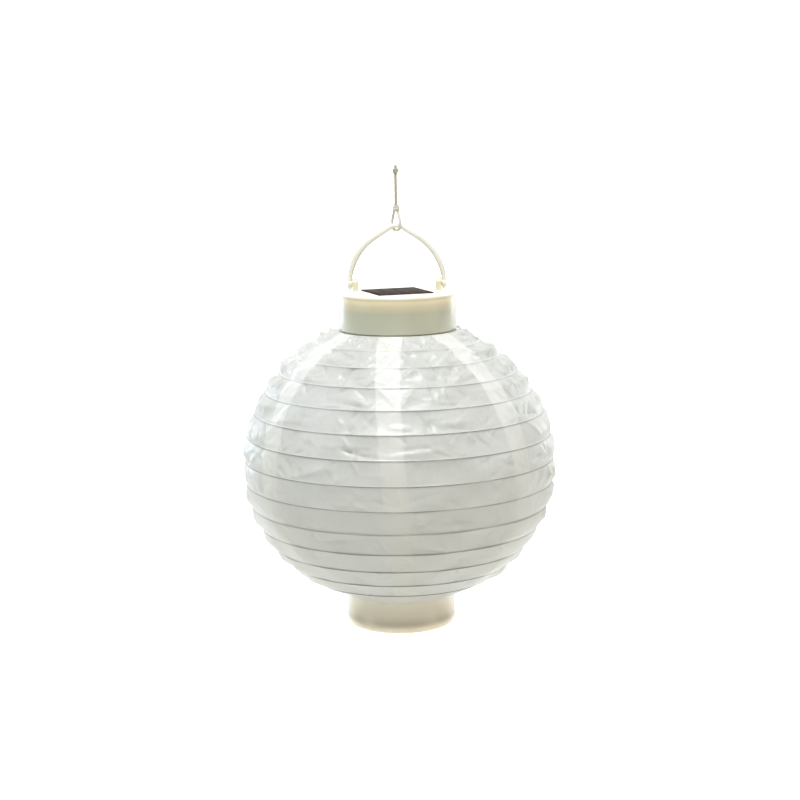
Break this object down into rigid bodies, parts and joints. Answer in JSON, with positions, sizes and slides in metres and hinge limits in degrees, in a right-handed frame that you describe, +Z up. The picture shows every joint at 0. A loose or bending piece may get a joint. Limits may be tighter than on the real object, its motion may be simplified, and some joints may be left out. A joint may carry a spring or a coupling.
{
  "type": "accordion paper lantern",
  "caption": "Round accordion paper lantern hung open on a cord, with wire hoops, a solar cap, a pointed bail handle and a closed bottom cup",
  "frame": {"origin": "The top end of the hanging cord, where the lantern is held up", "axes": "+Z up along the cord and the shade's axis; +X from the left ear of the bail to the right one; -Y towards the front"},
  "size_m": [0.1984, 0.1984, 0.2939],
  "materials": {
    "ivory_plastic": "satin ivory injection moulding",
    "base_plastic": "plain ivory moulding",
    "collar_plastic": "translucent ivory moulding, in shadow",
    "paper": "crinkled translucent white paper",
    "hoop_wire": "galvanised spring wire",
    "cord": "off-white twisted cotton cord",
    "solar_cell": "near-black brown silicon cell",
    "panel_resin": "clear resin over the cell",
    "screw": "zinc-plated steel",
    "contact": "nickel-plated steel",
    "board": "green circuit board",
    "led": "clear epoxy",
    "battery": "printed shrink sleeve without text",
    "switch": "black moulding",
    "wire_red": "red insulation",
    "wire_black": "black insulation"
  },
  "bodies": {
    "cord": {"end_knot": "cord", "hang_cord": "cord", "loop_knot": "cord", "cord_loop": "cord"},
    "bail": {"bail_handle": "ivory_plastic"},
    "cap": {"cap_shell": "ivory_plastic", "solar_cell": "solar_cell", "panel_resin": "panel_resin", "base_plate": "base_plastic", "base_screw_1": "screw", "base_screw_2": "screw", "base_screw_3": "screw", "circuit_board": "board", "led": "led", "switch_body": "screw", "battery": "battery", "battery_contact": "contact", "battery_spring": "contact", "panel_wire_red": "wire_red", "panel_wire_black": "wire_black", "battery_wire_red": "wire_red", "battery_wire_black": "wire_black"},
    "battery_cover": {"battery_cover": "base_plastic"},
    "switch": {"switch_knob": "switch"},
    "collar": {"top_collar": "collar_plastic", "paper_01": "paper"},
    "hoop_01": {"hoop_01": "hoop_wire", "paper_02": "paper"},
    "hoop_02": {"hoop_02": "hoop_wire", "paper_03": "paper"},
    "hoop_03": {"hoop_03": "hoop_wire", "paper_04": "paper"},
    "hoop_04": {"hoop_04": "hoop_wire", "paper_05": "paper"},
    "hoop_05": {"hoop_05": "hoop_wire", "paper_06": "paper"},
    "hoop_06": {"hoop_06": "hoop_wire", "paper_07": "paper"},
    "hoop_07": {"hoop_07": "hoop_wire", "paper_08": "paper"},
    "hoop_08": {"hoop_08": "hoop_wire", "paper_09": "paper"},
    "hoop_09": {"hoop_09": "hoop_wire", "paper_10": "paper"},
    "hoop_10": {"hoop_10": "hoop_wire", "paper_11": "paper"},
    "hoop_11": {"hoop_11": "hoop_wire", "paper_12": "paper"},
    "hoop_12": {"hoop_12": "hoop_wire", "paper_13": "paper"},
    "hoop_13": {"hoop_13": "hoop_wire", "paper_14": "paper"},
    "cup": {"bottom_cup": "ivory_plastic"}
  },
  "joints": [
    {"name": "cord_swing", "type": "hinge", "parent": "cord", "child": "bail", "pos_m": [0, 0, -0.0378], "axis": [1, 0, 0], "range_deg": [-45, 45]},
    {"name": "bail_swing", "type": "hinge", "parent": "bail", "child": "cap", "pos_m": [0, 0, -0.0742], "axis": [1, 0, 0], "range_deg": [-90, 90]},
    {"name": "shade_release", "type": "slide", "parent": "cap", "child": "collar", "axis": [0, 0, -1], "range_m": [0, 0.04]},
    {"name": "switch_slide", "type": "slide", "parent": "cap", "child": "switch", "axis": [0, 1, 0], "range_m": [0, 0.003]},
    {"name": "battery_cover_pull", "type": "slide", "parent": "cap", "child": "battery_cover", "axis": [0, 0, -1], "range_m": [0, 0.03]},
    {"name": "fold_01", "type": "slide", "parent": "collar", "child": "hoop_01", "axis": [0, 0, 1], "range_m": [0, 0.00449], "deforming": ["paper_01"]},
    {"name": "fold_02", "type": "slide", "parent": "hoop_01", "child": "hoop_02", "axis": [0, 0, 1], "range_m": [0, 0.00659], "deforming": ["paper_02"]},
    {"name": "fold_03", "type": "slide", "parent": "hoop_02", "child": "hoop_03", "axis": [0, 0, 1], "range_m": [0, 0.0084], "deforming": ["paper_03"]},
    {"name": "fold_04", "type": "slide", "parent": "hoop_03", "child": "hoop_04", "axis": [0, 0, 1], "range_m": [0, 0.01007], "deforming": ["paper_04"]},
    {"name": "fold_05", "type": "slide", "parent": "hoop_04", "child": "hoop_05", "axis": [0, 0, 1], "range_m": [0, 0.01137], "deforming": ["paper_05"]},
    {"name": "fold_06", "type": "slide", "parent": "hoop_05", "child": "hoop_06", "axis": [0, 0, 1], "range_m": [0, 0.01242], "deforming": ["paper_06"]},
    {"name": "fold_07", "type": "slide", "parent": "hoop_06", "child": "hoop_07", "axis": [0, 0, 1], "range_m": [0, 0.01298], "deforming": ["paper_07"]},
    {"name": "fold_08", "type": "slide", "parent": "hoop_07", "child": "hoop_08", "axis": [0, 0, 1], "range_m": [0, 0.01318], "deforming": ["paper_08"]},
    {"name": "fold_09", "type": "slide", "parent": "hoop_08", "child": "hoop_09", "axis": [0, 0, 1], "range_m": [0, 0.01279], "deforming": ["paper_09"]},
    {"name": "fold_10", "type": "slide", "parent": "hoop_09", "child": "hoop_10", "axis": [0, 0, 1], "range_m": [0, 0.01197], "deforming": ["paper_10"]},
    {"name": "fold_11", "type": "slide", "parent": "hoop_10", "child": "hoop_11", "axis": [0, 0, 1], "range_m": [0, 0.01081], "deforming": ["paper_11"]},
    {"name": "fold_12", "type": "slide", "parent": "hoop_11", "child": "hoop_12", "axis": [0, 0, 1], "range_m": [0, 0.00934], "deforming": ["paper_12"]},
    {"name": "fold_13", "type": "slide", "parent": "hoop_12", "child": "hoop_13", "axis": [0, 0, 1], "range_m": [0, 0.00757], "deforming": ["paper_13"]},
    {"name": "fold_14", "type": "slide", "parent": "hoop_13", "child": "cup", "axis": [0, 0, 1], "range_m": [0, 0.00946], "deforming": ["paper_14"]}
  ],
  "couplings": [
    {"joint": "fold_02", "follows": "fold_01", "ratio": 1.4655},
    {"joint": "fold_03", "follows": "fold_01", "ratio": 1.8686},
    {"joint": "fold_04", "follows": "fold_01", "ratio": 2.2405},
    {"joint": "fold_05", "follows": "fold_01", "ratio": 2.5301},
    {"joint": "fold_06", "follows": "fold_01", "ratio": 2.7639},
    {"joint": "fold_07", "follows": "fold_01", "ratio": 2.8886},
    {"joint": "fold_08", "follows": "fold_01", "ratio": 2.9332},
    {"joint": "fold_09", "follows": "fold_01", "ratio": 2.8463},
    {"joint": "fold_10", "follows": "fold_01", "ratio": 2.6637},
    {"joint": "fold_11", "follows": "fold_01", "ratio": 2.4053},
    {"joint": "fold_12", "follows": "fold_01", "ratio": 2.078},
    {"joint": "fold_13", "follows": "fold_01", "ratio": 1.6837},
    {"joint": "fold_14", "follows": "fold_01", "ratio": 2.1047}
  ]
}
